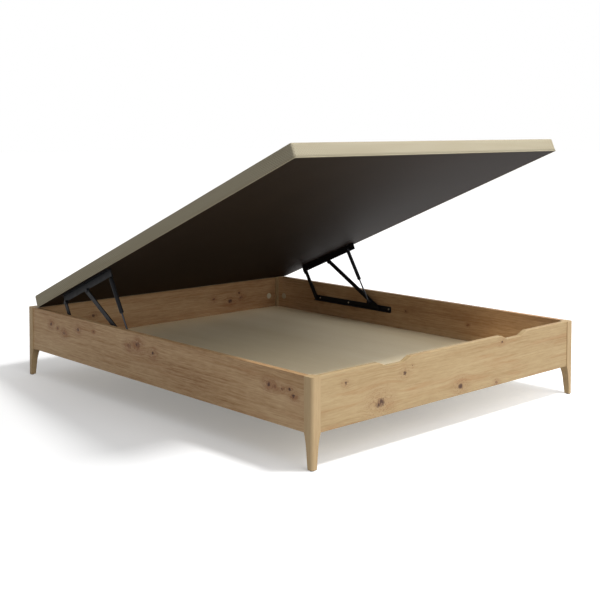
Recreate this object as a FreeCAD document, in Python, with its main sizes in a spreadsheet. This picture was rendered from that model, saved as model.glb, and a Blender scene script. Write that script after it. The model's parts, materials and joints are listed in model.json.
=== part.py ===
import FreeCAD, Part
import math
import os
import re
import Sketcher
from FreeCAD import Placement, Rotation, Vector

# Lift-up storage bed base, shown with its lid raised.
# X runs across the bed, Y from foot to head, Z up; the origin is on the floor below the middle.

# Driving dimensions, in millimetres and degrees
DIMENSIONS = {
    # wooden frame
    "frame_width": 1625,
    "frame_length": 2020,
    "frame_height": 334,
    "panel_height": 203,
    "panel_thickness": 25,
    "panel_round": 1.5,
    # finger notches in the foot panel
    "notch_spacing": 750,
    "notch_width": 180,
    "notch_flat": 95,
    "notch_depth": 18,
    # corner posts
    "leg_size": 42,
    "leg_reveal": 3,
    "leg_round": 12,
    "leg_knee_size": 30,
    "leg_foot_size": 24,
    # glides and centre leg
    "glide_radius": 9,
    "glide_thickness": 3,
    "centre_leg_top_radius": 25,
    "centre_leg_foot_radius": 18,
    # floor of the storage well
    "floor_rise": 27,
    "floor_thickness": 10,
    "floor_gap": 1,
    "ledger_width": 22,
    "beam_width": 60,
    "beam_height": 26,
    # corner fasteners
    "cam_reach": 48,
    "cam_height": 92,
    "cam_radius": 12.5,
    "cam_depth": 18,
    "cap_radius": 16,
    "cap_face_radius": 15,
    "cap_thickness": 1.8,
    "bolt_radius": 3.5,
    "bolt_bite": 18,
    "dowel_radius": 4,
    "dowel_length": 36,
    "dowel_offset": 55,
    "bore_gap": 0.1,
    # lower rails
    "rail_wall": 3,
    "lower_rail_height": 30,
    "lower_rail_flange": 13,
    "lower_rail_rear_reach": 14,
    "lower_rail_front_reach": 88,
    "lower_pivot_drop": 84,
    "lower_pivot_rise": 17,
    "rear_pivot_setback": 372.67,
    "front_pivot_setback": 848.14,
    # arms and pivots
    "arm_width": 22,
    "arm_thickness": 5,
    "arm_gap": 3.5,
    "pin_radius": 5,
    "pin_collar_radius": 9,
    "pin_head": 2.4,
    "pin_gap": 0.05,
    "running_gap": 0.3,
    # upper rails
    "upper_rail_depth": 34,
    "upper_rail_lug_radius": 12,
    "upper_rail_flange": 15,
    "upper_rail_gap": 2,
    "upper_rail_rear_reach": 15,
    "upper_rail_front_reach": 40,
    "lid_pivot_drop": 38,
    "rear_pivot_reach": 220,
    "front_pivot_reach": 422,
    # gas springs
    "gas_pivot_reach": 604,
    "gas_pivot_drop": 24,
    "gas_stud_reach": 52,
    "gas_gap": 5.5,
    "gas_radius": 9.5,
    "gas_wall": 1.5,
    "gas_gland": 12,
    "gas_body_length": 165,
    "gas_rod_radius": 4,
    "gas_rod_length": 160,
    "gas_piston_length": 10,
    "gas_neck": 14,
    "gas_neck_radius": 6,
    "socket_radius": 8.5,
    "socket_thickness": 18,
    "socket_bore_depth": 14.5,
    "stud_radius": 4,
    "stud_collar_radius": 7,
    # rail screws
    "screw_radius": 2.2,
    "screw_head_radius": 4.5,
    "screw_head": 2.2,
    "screw_bite": 14,
    "rail_screw_rear_inset": 43,
    "rail_screw_front_inset": 14,
    # lid, raised as in use
    "lid_side_margin": 4.5,
    "lid_end_margin": 8,
    "lid_thickness": 60,
    "lid_angle": 22.5,
    "lid_setback": 74.5,
    "lid_lift": 1.5,
    "cover_side": 4,
    "cover_top": 10,
    "cover_round": 10,
    "lid_fit": 0.3,
    "lining_thickness": 2,
    "lid_board_thickness": 5,
    "tube_width": 40,
    "tube_wall": 1.5,
    "cross_tube_width": 30,
    # extra length of every cutting tool
    "overrun": 5,
}
CROSS_TUBES = 4
LEG_KNEE_SHARE = 0.5234
LOWER_SCREW_SHARE = 0.46
UPPER_SCREW_SHARES = (0.16, 0.5, 0.84)
SIDES = (-1, 1)
UP = Vector(0, 0, 1)
# where a new outline starts before its dimensions pull it into shape
ROUGH_MIDDLE = Vector(2, 2, 0)

doc = FreeCAD.newDocument("StorageBed")
sheet = doc.addObject("Spreadsheet::Sheet", "Dims")
for row, (alias, size) in enumerate(DIMENSIONS.items(), start=1):
    sheet.set(f"A{row}", alias)
    sheet.set(f"B{row}", str(size))
    sheet.setAlias(f"B{row}", alias)
doc.recompute()

nodes = {}


# Helpers

def value(alias):
    """A driving dimension as a number."""
    return float(sheet.get(alias))


def linked(text):
    """A formula in the sheet's names, as an expression of the document."""
    return re.sub(r"[a-z_]+", lambda m: "Dims." + m[0] if m[0] in DIMENSIONS else m[0], text)


def tie(thing, ties):
    """Binds properties of a thing to formulas of the sheet."""
    for prop, text in ties.items():
        thing.setExpression(prop, linked(text))


def place_at(thing, x, y, z):
    """Binds a thing's position to formulas."""
    tie(thing, {"Placement.Base.x": x, "Placement.Base.y": y, "Placement.Base.z": z})


def keep(name, thing):
    """Registers a finished sub-part under its own name."""
    thing.Label = name
    nodes[name] = thing
    return thing


def block(name, size, corner):
    """A square-edged block; size and lowest corner are formulas along X, Y and Z."""
    thing = doc.addObject("Part::Box", name)
    tie(thing, dict(zip(("Length", "Width", "Height"), size)))
    place_at(thing, *corner)
    return thing


def cylinder(name, radius, length, start, direction):
    """A round bar from a start point, given in formulas, along a direction."""
    thing = doc.addObject("Part::Cylinder", name)
    tie(thing, {"Radius": radius, "Height": length})
    thing.Placement = Placement(Vector(), Rotation(Vector(0, 0, 1), direction))
    place_at(thing, *start)
    return thing


def group(name, things):
    """Separate solids kept together in one sub-part."""
    thing = doc.addObject("Part::Compound", name)
    thing.Links = things
    return thing


def fused(name, things):
    thing = doc.addObject("Part::MultiFuse", name)
    thing.Shapes = things
    thing.Refine = True
    return thing


def cut(name, base, tools):
    """The base less all the tools."""
    thing = doc.addObject("Part::Cut", name)
    thing.Base = base
    thing.Tool = fused(name + "_tools", tools) if len(tools) > 1 else tools[0]
    return thing


def mirrored(name, source):
    """The left-hand twin of a right-hand piece."""
    thing = doc.addObject("Part::Mirroring", name)
    thing.Source = source
    thing.Normal = Vector(1, 0, 0)
    return thing


def start_sketch(body, name, role):
    """An empty sketch on one of the body's own origin planes."""
    plane = next(f for f in body.Origin.OriginFeatures if f.Role == role)
    sketch = body.newObject("Sketcher::SketchObject", name)
    sketch.AttachmentSupport = [(plane, "")]
    sketch.MapMode = "FlatFace"
    return sketch


def dimension(sketch, constraint, text):
    """Adds a driving dimension and binds it to a formula."""
    index = sketch.addConstraint(constraint)
    label = f"size{index}"
    sketch.renameConstraint(index, label)
    sketch.setExpression("Constraints." + label, linked(text))


def pin_point(sketch, edge, end, point):
    """Holds one end of an edge at a point given in formulas; None means on the axis."""
    across, up = point
    spot = sketch.getPoint(edge, end)
    if across is None:
        sketch.addConstraint(Sketcher.Constraint("PointOnObject", edge, end, -2))
    else:
        dimension(sketch, Sketcher.Constraint("DistanceX", -1, 1, edge, end, spot.x), across)
    if up is None:
        sketch.addConstraint(Sketcher.Constraint("PointOnObject", edge, end, -1))
    else:
        dimension(sketch, Sketcher.Constraint("DistanceY", -1, 1, edge, end, spot.y), up)


def outline(sketch, points):
    """A closed outline of straight edges through points given in formulas."""
    count = len(points)
    turns = [2 * math.pi * i / count for i in range(count)]
    rough = [ROUGH_MIDDLE + Vector(math.cos(a), math.sin(a), 0) for a in turns]
    for i in range(count):
        sketch.addGeometry(Part.LineSegment(rough[i], rough[(i + 1) % count]))
    for i in range(count):
        sketch.addConstraint(Sketcher.Constraint("Coincident", i, 2, (i + 1) % count, 1))
    for i, point in enumerate(points):
        pin_point(sketch, i, 1, point)


def pad(body, name, sketch, length):
    """Extrudes a sketch by the same amount on both sides."""
    feature = body.newObject("PartDesign::Pad", name)
    feature.Profile = sketch
    feature.SideType = "Symmetric"
    tie(feature, {"Length": length})
    return feature


def pocket(body, name, sketch, length):
    """Cuts a sketch away on both sides of its plane."""
    feature = body.newObject("PartDesign::Pocket", name)
    feature.Profile = sketch
    feature.SideType = "Symmetric"
    tie(feature, {"Length": length})
    return feature


def turned(name, points):
    """A turned piece on its own Z axis; points are radius and height in formulas."""
    body = doc.addObject("PartDesign::Body", name)
    sketch = start_sketch(body, name + "_profile", "XZ_Plane")
    outline(sketch, points)
    feature = body.newObject("PartDesign::Revolution", name + "_turn")
    feature.Profile = sketch
    feature.ReferenceAxis = (sketch, ["V_Axis"])
    return body


def stepped(name, steps):
    """A stepped shaft, turned from radius and length formulas, one pair for each step."""
    points = [(None, None)]
    height = None
    for radius, length in steps:
        points.append((radius, height))
        height = length if height is None else f"{height} + {length}"
        points.append((radius, height))
    points.append((None, height))
    return turned(name, points)


# Formulas that several pieces share
PANEL_BOTTOM = "(frame_height - panel_height)"
FLOOR_UNDERSIDE = f"({PANEL_BOTTOM} + floor_rise - floor_thickness)"
INNER_X = "(frame_width / 2 - leg_reveal - panel_thickness)"
INNER_Y = "(frame_length / 2 - leg_reveal - panel_thickness)"
PANEL_X = "(frame_width / 2 - leg_reveal - panel_thickness / 2)"
PANEL_Y = "(frame_length / 2 - leg_reveal - panel_thickness / 2)"
LEG_X = "(frame_width / 2 - leg_size)"
LEG_Y = "(frame_length / 2 - leg_size)"
END_PANEL_LENGTH = "(frame_width - 2 * leg_size)"
SIDE_PANEL_LENGTH = "(frame_length - 2 * leg_size)"
TAPER_TOP = f"({PANEL_BOTTOM} - glide_thickness)"
LEG_KNEE = f"({LEG_KNEE_SHARE} * {TAPER_TOP})"
CAM_Z = f"({PANEL_BOTTOM} + cam_height)"
LOWER_PIVOT_Z = "(frame_height - lower_pivot_drop)"
REAR_PIVOT_Y = "(frame_length / 2 - rear_pivot_setback)"
FRONT_PIVOT_Y = "(frame_length / 2 - front_pivot_setback)"

# Planes of the right-hand mechanism, from the side panel inwards
LOWER_RAIL_FACE = f"({INNER_X} - rail_wall)"
ARM_OUTER = f"({LOWER_RAIL_FACE} - arm_gap)"
ARM_INNER = f"({ARM_OUTER} - arm_thickness)"
UPPER_RAIL_OUTER = f"({ARM_INNER} - upper_rail_gap)"
UPPER_RAIL_INNER = f"({UPPER_RAIL_OUTER} - rail_wall)"
SOCKET_OUTER = f"({UPPER_RAIL_INNER} - gas_gap)"
GAS_X = f"({SOCKET_OUTER} - socket_thickness / 2)"


# Corner fasteners: cam locks and dowels in the board ends, bolts that bite into the posts

def signed(side, text):
    return f"{side} * {text}"


def corner_hardware():
    """Locks, bolts, dowels and caps of all eight joints, and the cutting tools for them."""
    locks, bolts, dowels, caps = [], [], [], []
    tools = {}
    for sx in SIDES:
        for sy in SIDES:
            leg = ("foot", "head")[sy > 0] + "_" + ("left", "right")[sx > 0] + "_leg"
            end_board = ("foot_panel", "head_panel")[sy > 0]
            side_board = ("left_side_panel", "right_side_panel")[sx > 0]
            joints = (
                (end_board, (LEG_X, sx), (PANEL_Y, sy), (INNER_Y, sy), True),
                (side_board, (LEG_Y, sy), (PANEL_X, sx), (INNER_X, sx), False),
            )
            for board, (reach, end), (plane, face), (inner, _), along_x in joints:
                key = f"{board}_{leg}"
                outward = Vector(0, face, 0) if along_x else Vector(face, 0, 0)
                along = Vector(end, 0, 0) if along_x else Vector(0, end, 0)

                def at(run, depth, height):
                    spot = (signed(end, run), signed(face, depth))
                    return (*(spot if along_x else spot[::-1]), height)

                centre = f"({reach} - cam_reach)"
                locks.append(cylinder(key + "_lock", "cam_radius", "cam_depth - bore_gap",
                                      at(centre, inner, CAM_Z), outward))
                seat = cylinder(key + "_seat", "cam_radius + bore_gap", "cam_depth + overrun",
                                at(centre, f"({inner} - overrun)", CAM_Z), outward)
                cap = doc.addObject("Part::Cone", key + "_cap")
                tie(cap, {"Radius1": "cap_radius", "Radius2": "cap_face_radius", "Height": "cap_thickness"})
                cap.Placement = Placement(Vector(), Rotation(Vector(0, 0, 1), -outward))
                place_at(cap, *at(centre, inner, CAM_Z))
                caps.append(cap)
                bolt_start = f"({centre} + cam_radius + bore_gap)"
                bolt_length = "cam_reach - cam_radius + bolt_bite"
                bolts.append(cylinder(key + "_bolt", "bolt_radius", f"{bolt_length} - 2 * bore_gap",
                                      at(bolt_start, plane, CAM_Z), along))
                bore = cylinder(key + "_bore", "bolt_radius + bore_gap", bolt_length,
                                at(bolt_start, plane, CAM_Z), along)
                tools.setdefault(board, []).extend((seat, bore))
                tools.setdefault(leg, []).append(bore)
                for step in SIDES:
                    height = f"({CAM_Z} + {step} * dowel_offset)"
                    start = f"({reach} - dowel_length / 2 + bore_gap)"
                    dowels.append(cylinder(f"{key}_dowel{step + 1}", "dowel_radius",
                                           "dowel_length - 2 * bore_gap", at(start, plane, height), along))
                    hole = cylinder(f"{key}_dowel_bore{step + 1}", "dowel_radius + bore_gap", "dowel_length",
                                    at(f"({reach} - dowel_length / 2)", plane, height), along)
                    tools[board].append(hole)
                    tools[leg].append(hole)
    keep("cam_locks", group("cam_locks", locks))
    keep("cam_bolts", group("cam_bolts", bolts))
    keep("corner_dowels", group("corner_dowels", dowels))
    keep("corner_caps", group("corner_caps", caps))
    return tools


# Boards of the frame

def board_points(length):
    return [(None, None), (length, None), (length, "panel_height"), (None, "panel_height")]


def notched_points(length):
    """A board whose top edge has two finger notches with sloping ends."""
    points = [(None, None), (length, None), (length, "panel_height")]
    for side in (1, -1):
        middle = f"({length} / 2 + {side} * notch_spacing / 2)"
        points.append((f"{middle} + notch_width / 2", "panel_height"))
        points.append((f"{middle} + notch_flat / 2", "panel_height - notch_depth"))
        points.append((f"{middle} - notch_flat / 2", "panel_height - notch_depth"))
        points.append((f"{middle} - notch_width / 2", "panel_height"))
    return points + [(None, "panel_height")]


def panel(name, points, tools):
    """A board on edge with its long edges eased and its joints bored."""
    body = doc.addObject("PartDesign::Body", name + "_board")
    sketch = start_sketch(body, name + "_outline", "XZ_Plane")
    outline(sketch, points)
    slab = pad(body, name + "_pad", sketch, "panel_thickness")
    doc.recompute()
    edges = []
    for number, edge in enumerate(slab.Shape.Edges, start=1):
        along = edge.tangentAt(edge.FirstParameter)
        if abs(along.x) > abs(along.z) and abs(along.y) < abs(along.x):
            edges.append(f"Edge{number}")
    ease = body.newObject("PartDesign::Fillet", name + "_ease")
    ease.Base = (slab, edges)
    tie(ease, {"Radius": "panel_round"})
    keep(name, cut(name, body, tools))
    return body


def make_panels(tools, side_pilots):
    for name, side, points in (("head_panel", 1, board_points(END_PANEL_LENGTH)),
                               ("foot_panel", -1, notched_points(END_PANEL_LENGTH))):
        body = panel(name, points, tools[name])
        place_at(body, f"-{END_PANEL_LENGTH} / 2", signed(side, PANEL_Y), PANEL_BOTTOM)
    for name, side in (("left_side_panel", -1), ("right_side_panel", 1)):
        body = panel(name, board_points(SIDE_PANEL_LENGTH), tools[name] + side_pilots[side])
        body.Placement = Placement(Vector(), Rotation(Vector(0, 0, 1), 90))
        place_at(body, signed(side, PANEL_X), f"-{SIDE_PANEL_LENGTH} / 2", PANEL_BOTTOM)


# Corner posts: square above, hollowed to a slim foot on the two inner faces

def tangent_bend(start, knee, end):
    """The middle of the arc from knee to end that carries on the straight run from start to knee."""
    run = (knee - start).normalize()
    side = Vector(run.y, -run.x, 0)
    chord = end - knee
    radius = chord.dot(chord) / (2 * chord.dot(side))
    centre = knee + side * radius
    return centre + ((knee + end) / 2 - centre).normalize() * abs(radius)


def taper_sketch(body, name, role):
    """What is cut from one inner face below the boards: a curve that runs into a straight taper."""
    sketch = start_sketch(body, name, role)
    size = value("leg_size")
    bottom = value("frame_height") - value("panel_height") - value("glide_thickness")
    knee = Vector(value("leg_knee_size"), LEG_KNEE_SHARE * bottom, 0)
    foot = Vector(value("leg_foot_size"), 0, 0)
    top = Vector(size, bottom, 0)
    outside = size + value("overrun")
    sketch.addGeometry(Part.Arc(top, tangent_bend(foot, knee, top), knee))
    sketch.addGeometry(Part.LineSegment(knee, foot))
    sketch.addGeometry(Part.LineSegment(foot, Vector(outside, 0, 0)))
    sketch.addGeometry(Part.LineSegment(Vector(outside, 0, 0), Vector(outside, bottom, 0)))
    sketch.addGeometry(Part.LineSegment(Vector(outside, bottom, 0), top))
    arc_ends = sorted((1, 2), key=lambda end: sketch.getPoint(0, end).distanceToPoint(top))
    for edge in (1, 2, 3):
        sketch.addConstraint(Sketcher.Constraint("Coincident", edge, 2, edge + 1, 1))
    sketch.addConstraint(Sketcher.Constraint("Coincident", 4, 2, 0, arc_ends[0]))
    pin_point(sketch, 4, 2, ("leg_size", TAPER_TOP))
    pin_point(sketch, 1, 1, ("leg_knee_size", LEG_KNEE))
    pin_point(sketch, 2, 1, ("leg_foot_size", None))
    pin_point(sketch, 3, 1, ("leg_size + overrun", None))
    pin_point(sketch, 4, 1, ("leg_size + overrun", TAPER_TOP))
    sketch.addConstraint(Sketcher.Constraint("Tangent", 0, arc_ends[1], 1, 1))
    return sketch


def leg(name, quarter, x, y, tools):
    """A post whose outer edge stands at the corner given, turned by quarter turns."""
    body = doc.addObject("PartDesign::Body", name + "_post")
    sketch = start_sketch(body, name + "_section", "XY_Plane")
    outline(sketch, [(None, None), ("leg_size", None), ("leg_size", "leg_size"), (None, "leg_size")])
    post = body.newObject("PartDesign::Pad", name + "_pad")
    post.Profile = sketch
    tie(post, {"Length": "frame_height - glide_thickness"})
    doc.recompute()
    outer = next(f"Edge{n}" for n, e in enumerate(post.Shape.Edges, start=1)
                 if e.BoundBox.XMax ** 2 + e.BoundBox.YMax ** 2 < value("overrun") ** 2)
    ease = body.newObject("PartDesign::Fillet", name + "_ease")
    ease.Base = (post, [outer])
    tie(ease, {"Radius": "leg_round"})
    for role in ("XZ_Plane", "YZ_Plane"):
        taper = taper_sketch(body, f"{name}_{role[:2]}_taper", role)
        pocket(body, f"{name}_{role[:2]}_cut", taper, "2 * leg_size + overrun")
    body.Placement = Placement(Vector(), Rotation(Vector(0, 0, 1), 90 * quarter))
    place_at(body, x, y, "glide_thickness")
    keep(name, cut(name, body, tools))


def make_legs(tools):
    half_x, half_y = "frame_width / 2", "frame_length / 2"
    corners = (("foot_left_leg", -1, -1), ("foot_right_leg", 1, -1),
               ("head_right_leg", 1, 1), ("head_left_leg", -1, 1))
    glides = []
    middle = "(leg_foot_size / 2)"
    for quarter, (name, sx, sy) in enumerate(corners):
        leg(name, quarter, signed(sx, half_x), signed(sy, half_y), tools[name])
        x, y = signed(sx, f"({half_x} - {middle})"), signed(sy, f"({half_y} - {middle})")
        glides.append(cylinder(name + "_glide", "glide_radius", "glide_thickness", (x, y, "0"), UP))
    glides.append(cylinder("centre_glide", "glide_radius", "glide_thickness", ("0", "0", "0"), UP))
    keep("leg_glides", group("leg_glides", glides))


# Floor of the storage well and what carries it

def make_floor():
    half_x, half_y = f"({INNER_X} - floor_gap)", f"({INNER_Y} - floor_gap)"
    clear_x, clear_y = f"({LEG_X} - floor_gap)", f"({LEG_Y} - floor_gap)"
    strips = []
    for name, x, y in (("floor_long", clear_x, half_y), ("floor_wide", half_x, clear_y)):
        strips.append(block(name, (f"2 * {x}", f"2 * {y}", "floor_thickness"),
                            (f"-{x}", f"-{y}", FLOOR_UNDERSIDE)))
    keep("floor_board", fused("floor_board", strips))
    height = f"{FLOOR_UNDERSIDE} - {PANEL_BOTTOM}"
    for name, y in (("head_ledger", f"{INNER_Y} - ledger_width"), ("foot_ledger", f"-{INNER_Y}")):
        keep(name, block(name, (END_PANEL_LENGTH, "ledger_width", height),
                         (f"-{END_PANEL_LENGTH} / 2", y, PANEL_BOTTOM)))
    run = f"({SIDE_PANEL_LENGTH} - 2 * ledger_width)"
    for name, x in (("left_ledger", f"-{INNER_X}"), ("right_ledger", f"{INNER_X} - ledger_width")):
        keep(name, block(name, ("ledger_width", run, height), (x, f"-{run} / 2", PANEL_BOTTOM)))
    reach = f"({INNER_Y} - ledger_width)"
    keep("centre_beam", block("centre_beam", ("beam_width", f"2 * {reach}", "beam_height"),
                              ("-beam_width / 2", f"-{reach}", f"{FLOOR_UNDERSIDE} - beam_height")))
    post = doc.addObject("Part::Cone", "centre_leg")
    tie(post, {"Radius1": "centre_leg_foot_radius", "Radius2": "centre_leg_top_radius",
               "Height": f"{FLOOR_UNDERSIDE} - beam_height - glide_thickness"})
    place_at(post, "0", "0", "glide_thickness")
    keep("centre_leg", post)


# Where the pivots of the right-hand mechanism lie, as (y, z), with the lid raised

def on_lid(reach, drop):
    """A point a reach from the lid's rear edge and a drop below its underside."""
    turn = math.radians(value("lid_angle"))
    rear = value("frame_length") / 2 - value("lid_setback")
    base = value("frame_height") + value("lid_lift")
    return (rear - reach * math.cos(turn) - drop * math.sin(turn),
            base + reach * math.sin(turn) - drop * math.cos(turn))


def on_rail(setback):
    return (value("frame_length") / 2 - setback, value("frame_height") - value("lower_pivot_drop"))


def bearing(start, end):
    """Angle of the line from start to end above the +Y direction, and its length."""
    dy, dz = end[0] - start[0], end[1] - start[1]
    return math.degrees(math.atan2(dz, dy)), math.hypot(dy, dz)


REAR_LOW = on_rail(value("rear_pivot_setback"))
FRONT_LOW = on_rail(value("front_pivot_setback"))
REAR_HIGH = on_lid(value("rear_pivot_reach"), value("lid_pivot_drop"))
FRONT_HIGH = on_lid(value("front_pivot_reach"), value("lid_pivot_drop"))
REAR_TILT, REAR_SPAN = bearing(REAR_LOW, REAR_HIGH)
FRONT_TILT, FRONT_SPAN = bearing(FRONT_LOW, FRONT_HIGH)
GAS_HIGH = on_lid(value("gas_pivot_reach"), value("gas_pivot_drop"))
GAS_LOW = (FRONT_LOW[0] + value("gas_stud_reach") * math.cos(math.radians(FRONT_TILT)),
           FRONT_LOW[1] + value("gas_stud_reach") * math.sin(math.radians(FRONT_TILT)))
GAS_TILT, GAS_SPAN = bearing(GAS_LOW, GAS_HIGH)


def across(thing, x, point, inward):
    """Lays a turned piece across the bed at a pivot, its start at the plane x."""
    turn = Rotation(Vector(0, 0, 1), Vector(-1 if inward else 1, 0, 0))
    thing.Placement = Placement(Vector(0, *point), turn)
    tie(thing, {"Placement.Base.x": x})
    return thing


def both_sides(name, thing):
    """A right-hand piece and its left-hand twin, as one sub-part."""
    keep(name, group(name, [thing, mirrored(name + "_twin", thing)]))


def pair(name, thing):
    """A right-hand piece and its left-hand twin, as two sub-parts."""
    keep("right_" + name, thing)
    keep("left_" + name, mirrored("left_" + name, thing))


# Lower rails, their screws and the pins that the arms turn on

def angle_rail(name, points, length):
    """A steel angle, from its section in formulas and its length."""
    body = doc.addObject("PartDesign::Body", name)
    sketch = start_sketch(body, name + "_section", "XZ_Plane")
    outline(sketch, points)
    pad(body, name + "_pad", sketch, length)
    return body


def make_lower_rails():
    length = "(front_pivot_setback - rear_pivot_setback + lower_rail_rear_reach + lower_rail_front_reach)"
    rear_end = f"({REAR_PIVOT_Y} + lower_rail_rear_reach)"
    upright = "lower_rail_flange - rail_wall"
    body = angle_rail("lower_rail_bar", [
        (None, None), ("lower_rail_flange", None), ("lower_rail_flange", "lower_rail_height"),
        (upright, "lower_rail_height"), (upright, "rail_wall"), (None, "rail_wall")], length)
    rail_bottom = f"({LOWER_PIVOT_Z} - lower_pivot_rise)"
    place_at(body, f"{INNER_X} - lower_rail_flange", f"{rear_end} - {length} / 2", rail_bottom)
    screw_places = (f"({rear_end} - rail_screw_rear_inset)", f"({rear_end} - {LOWER_SCREW_SHARE} * {length})",
                    f"({rear_end} - {length} + rail_screw_front_inset)")
    outward = Vector(1, 0, 0)
    tools, screws = [], []
    pilots = {-1: [], 1: []}
    for number, y in enumerate(screw_places):
        screw = stepped(f"lower_screw{number}", [("screw_head_radius", "screw_head"),
                                                 ("screw_radius", "rail_wall + screw_bite")])
        screw.Placement = Placement(Vector(), Rotation(Vector(0, 0, 1), outward))
        place_at(screw, f"{LOWER_RAIL_FACE} - screw_head", y, LOWER_PIVOT_Z)
        screws += [screw, mirrored(f"lower_screw{number}_twin", screw)]
        tools.append(cylinder(f"lower_screw_hole{number}", "screw_radius + bore_gap",
                              "rail_wall + 2 * overrun", (f"{LOWER_RAIL_FACE} - overrun", y, LOWER_PIVOT_Z),
                              outward))
        for side in SIDES:
            pilots[side].append(cylinder(f"lower_pilot{number}_{side + 1}", "screw_radius + bore_gap",
                                         "screw_bite + bore_gap + overrun",
                                         (signed(side, f"({INNER_X} - overrun)"), y, LOWER_PIVOT_Z),
                                         Vector(side, 0, 0)))
    for name, y in (("rear", REAR_PIVOT_Y), ("front", FRONT_PIVOT_Y)):
        tools.append(cylinder(f"{name}_pin_hole", "pin_radius + pin_gap", "rail_wall + 2 * overrun",
                              (f"{LOWER_RAIL_FACE} - overrun", y, LOWER_PIVOT_Z), outward))
    pair("lower_rail", cut("lower_rail", body, tools))
    keep("lower_rail_screws", group("lower_rail_screws", screws))
    for name, point in (("rear_arm_lower_pins", REAR_LOW), ("front_arm_lower_pins", FRONT_LOW)):
        pin = stepped(name + "_shaft", [
            ("pin_radius", "rail_wall"), ("pin_collar_radius", "arm_gap - running_gap"),
            ("pin_radius", "arm_thickness + 2 * running_gap"), ("pin_collar_radius", "pin_head")])
        both_sides(name, across(pin, INNER_X, point, True))
    return pilots


# Arms: flat bars with round ends, bored for their pins

def arm(name, span, tilt, low, extra_hole):
    """A bar between two pivots, with a hole for the gas spring's stud where one is asked for."""
    body = doc.addObject("PartDesign::Body", name + "_bar")
    sketch = start_sketch(body, name + "_outline", "XY_Plane")
    half = value("arm_width") / 2
    far = Vector(span, 0, 0)
    up = Vector(0, half, 0)
    axis = Vector(0, 0, 1)
    sketch.addGeometry(Part.ArcOfCircle(Part.Circle(Vector(), axis, half), math.pi / 2, 3 * math.pi / 2))
    sketch.addGeometry(Part.ArcOfCircle(Part.Circle(far, axis, half), -math.pi / 2, math.pi / 2))
    sketch.addGeometry(Part.LineSegment(-up, far - up))
    sketch.addGeometry(Part.LineSegment(far + up, up))
    for first, first_end, second, second_end in ((0, 2, 2, 1), (2, 2, 1, 1), (1, 2, 3, 1), (3, 2, 0, 1)):
        sketch.addConstraint(Sketcher.Constraint("Tangent", first, first_end, second, second_end))
    sketch.addConstraint(Sketcher.Constraint("Coincident", 0, 3, -1, 1))
    sketch.addConstraint(Sketcher.Constraint("PointOnObject", 1, 3, -1))
    sketch.addConstraint(Sketcher.Constraint("DistanceX", -1, 1, 1, 3, span))
    dimension(sketch, Sketcher.Constraint("Radius", 0, half), "arm_width / 2")
    bore = value("pin_radius") + value("pin_gap")
    for centre in (Vector(), far):
        number = sketch.addGeometry(Part.Circle(centre, axis, bore))
        sketch.addConstraint(Sketcher.Constraint("Coincident", number, 3, 0 if centre == Vector() else 1, 3))
        dimension(sketch, Sketcher.Constraint("Radius", number, bore), "pin_radius + pin_gap")
    if extra_hole:
        reach = value(extra_hole)
        number = sketch.addGeometry(Part.Circle(Vector(reach, 0, 0), axis, value("stud_radius")))
        sketch.addConstraint(Sketcher.Constraint("PointOnObject", number, 3, -1))
        dimension(sketch, Sketcher.Constraint("DistanceX", -1, 1, number, 3, reach), extra_hole)
        dimension(sketch, Sketcher.Constraint("Radius", number, bore), "stud_radius + pin_gap")
    feature = body.newObject("PartDesign::Pad", name + "_pad")
    feature.Profile = sketch
    tie(feature, {"Length": "arm_thickness"})
    turn = Rotation(Vector(1, 0, 0), tilt) * Rotation(Vector(1, 1, 1), 120)
    body.Placement = Placement(Vector(0, *low), turn)
    tie(body, {"Placement.Base.x": ARM_INNER})
    pair(name, body)


def make_arms():
    arm("rear_arm", REAR_SPAN, REAR_TILT, REAR_LOW, None)
    arm("front_arm", FRONT_SPAN, FRONT_TILT, FRONT_LOW, "gas_stud_reach")
    rivet = stepped("front_arm_rivet", [("pin_radius", "arm_thickness"), ("pin_collar_radius", "pin_head")])
    both_sides("front_arm_top_rivets", across(rivet, ARM_INNER, FRONT_HIGH, False))
    stud = stepped("gas_lower_stud", [
        ("stud_radius", "arm_thickness"),
        ("stud_collar_radius", "upper_rail_gap + rail_wall + gas_gap - running_gap"),
        ("stud_radius", "socket_bore_depth")])
    both_sides("gas_lower_studs", across(stud, ARM_OUTER, GAS_LOW, True))


# Gas springs: a rod with a piston in a closed cylinder, a socket on each end

def along_gas(thing, point, upward):
    """Lays a piece along the gas spring, its own Z axis pointing up or down the spring."""
    turn = Rotation(Vector(1, 0, 0), GAS_TILT - 90 if upward else GAS_TILT + 90)
    thing.Placement = Placement(Vector(0, *point), turn)
    tie(thing, {"Placement.Base.x": GAS_X})
    return thing


def socket(name, bored):
    """An end fitting: a round boss across the spring with a neck that takes the rod or cylinder."""
    boss = cylinder(name + "_boss", "socket_radius", "socket_thickness",
                    ("-socket_thickness / 2", "0", "0"), Vector(1, 0, 0))
    neck = cylinder(name + "_neck", "gas_neck_radius", "gas_neck", ("0", "0", "0"), Vector(0, 0, 1))
    whole = fused(name + "_whole", [boss, neck])
    if not bored:
        return whole
    bore = cylinder(name + "_bore", "stud_radius + pin_gap", "socket_bore_depth + overrun",
                    ("socket_thickness / 2 - socket_bore_depth", "0", "0"), Vector(1, 0, 0))
    return cut(name + "_bored", whole, [bore])


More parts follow.
